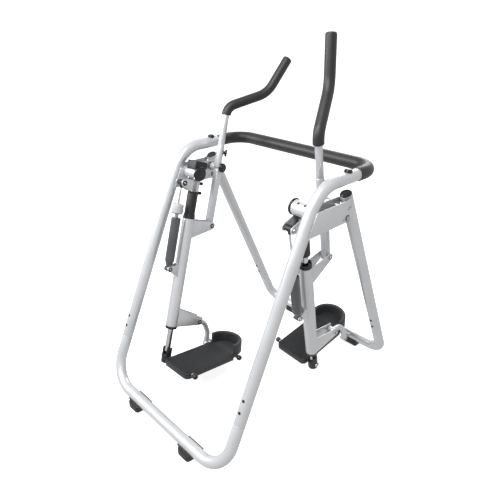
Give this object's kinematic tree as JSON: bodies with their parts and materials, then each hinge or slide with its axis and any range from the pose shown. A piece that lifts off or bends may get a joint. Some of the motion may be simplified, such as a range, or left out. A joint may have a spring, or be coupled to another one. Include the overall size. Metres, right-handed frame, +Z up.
{
  "type": "folding air walker",
  "caption": "Folding home air walker: tube frame, swinging sliding legs with dampers, pedals on linkages, bent hand levers and a foam-padded front crossbar.",
  "frame": {"origin": "centre of the footprint, on the floor", "axes": "+Z up, +Y forwards to the padded crossbar, +X to the right of the user who faces +Y"},
  "size_m": [0.8706, 1.197, 1.6033],
  "materials": {
    "silver": "satin silver powder coat",
    "chrome": "polished hard chrome",
    "steel": "turned zinc-plated steel",
    "plastic": "fine-grained black moulding",
    "foam": "closed-cell foam, soft sheen",
    "tread": "moulded anti-slip tread",
    "drum_paint": "speckled grey paint",
    "damper_paint": "semi-gloss black enamel"
  },
  "bodies": {
    "frame": {"lower_hoop": "silver", "crossbar_tube": "silver", "crossbar_foam": "foam", "left_upright": "silver", "left_bracket": "silver", "left_stub_knob": "plastic", "left_rear_foot": "plastic", "right_upright": "silver", "right_bracket": "silver", "right_stub_knob": "plastic", "right_rear_foot": "plastic"},
    "front_frame": {"front_hoop": "silver", "left_front_leg": "silver", "left_leg_plug": "plastic", "left_front_foot": "plastic", "right_front_leg": "silver", "right_leg_plug": "plastic", "right_front_foot": "plastic"},
    "left_leg": {"left_hip_housing": "silver", "left_hip_cap": "plastic", "left_slide_rod": "chrome", "left_sleeve": "plastic", "left_connector": "plastic", "left_damper_rod": "chrome", "counter": "plastic"},
    "left_slide": {"left_leg_tube": "silver", "left_top_collar": "plastic", "left_bottom_collar": "plastic", "left_damper_drum": "drum_paint", "left_damper_body": "damper_paint", "left_link": "silver"},
    "left_hand_lever": {"left_lever": "silver", "left_hub_cap": "plastic", "left_handle_tube": "silver", "left_grip": "foam", "left_handle_knob": "plastic"},
    "left_step": {"left_pedal": "tread", "left_pin_rear": "steel", "left_pin_front": "steel"},
    "right_leg": {"right_hip_housing": "silver", "right_hip_cap": "plastic", "right_slide_rod": "chrome", "right_sleeve": "plastic", "right_connector": "plastic", "right_damper_rod": "chrome"},
    "right_slide": {"right_leg_tube": "silver", "right_top_collar": "plastic", "right_bottom_collar": "plastic", "right_damper_drum": "drum_paint", "right_damper_body": "damper_paint", "right_link": "silver"},
    "right_hand_lever": {"right_lever": "silver", "right_hub_cap": "plastic", "right_handle_tube": "silver", "right_grip": "foam", "right_handle_knob": "plastic"},
    "right_step": {"right_pedal": "tread", "right_pin_rear": "steel", "right_pin_front": "steel"}
  },
  "joints": [
    {"name": "front_frame_fold", "type": "hinge", "parent": "frame", "child": "front_frame", "pos_m": [0, 0.0895, 0.95], "axis": [-1, 0, 0], "range_deg": [0, 48]},
    {"name": "left_hip_swing", "type": "hinge", "parent": "frame", "child": "left_leg", "pos_m": [-0.317, -0.0608, 0.9983], "axis": [0.998, 0, 0.0629], "range_deg": [-5.8, 40.2]},
    {"name": "left_tube_slide", "type": "slide", "parent": "left_leg", "child": "left_slide", "axis": [0.0597, -0.3123, -0.9481], "range_m": [-0.0139, 0.0959]},
    {"name": "left_lever_swing", "type": "hinge", "parent": "frame", "child": "left_hand_lever", "pos_m": [-0.317, 0.0782, 0.9983], "axis": [0.998, 0, 0.0629], "range_deg": [-5.9, 40.3]},
    {"name": "left_pedal_tilt", "type": "hinge", "parent": "left_leg", "child": "left_step", "pos_m": [-0.26217, -0.34436, 0.12796], "axis": [0.998, 0, 0.0629], "range_deg": [-19.5, 2.9]},
    {"name": "right_hip_swing", "type": "hinge", "parent": "frame", "child": "right_leg", "pos_m": [0.317, -0.0608, 0.9983], "axis": [0.998, 0, -0.0629], "range_deg": [-37.8, 8.2]},
    {"name": "right_tube_slide", "type": "slide", "parent": "right_leg", "child": "right_slide", "axis": [-0.0611, 0.2385, -0.9692], "range_m": [-0.0902, 0.0196]},
    {"name": "right_lever_swing", "type": "hinge", "parent": "frame", "child": "right_hand_lever", "pos_m": [0.317, 0.0782, 0.9983], "axis": [0.998, 0, -0.0629], "range_deg": [-37.9, 8.3]},
    {"name": "right_pedal_tilt", "type": "hinge", "parent": "right_leg", "child": "right_step", "pos_m": [0.26105, 0.16085, 0.11025], "axis": [0.998, 0, -0.0629], "range_deg": [-4.1, 18.4]}
  ],
  "couplings": [
    {"joint": "left_tube_slide", "follows": "left_hip_swing", "m_per_rad": 0.1366},
    {"joint": "left_lever_swing", "follows": "left_hip_swing", "ratio": 1},
    {"joint": "left_pedal_tilt", "follows": "left_hip_swing", "ratio": -0.4835},
    {"joint": "right_tube_slide", "follows": "right_hip_swing", "m_per_rad": 0.1366},
    {"joint": "right_lever_swing", "follows": "right_hip_swing", "ratio": 1},
    {"joint": "right_pedal_tilt", "follows": "right_hip_swing", "ratio": -0.4835}
  ]
}
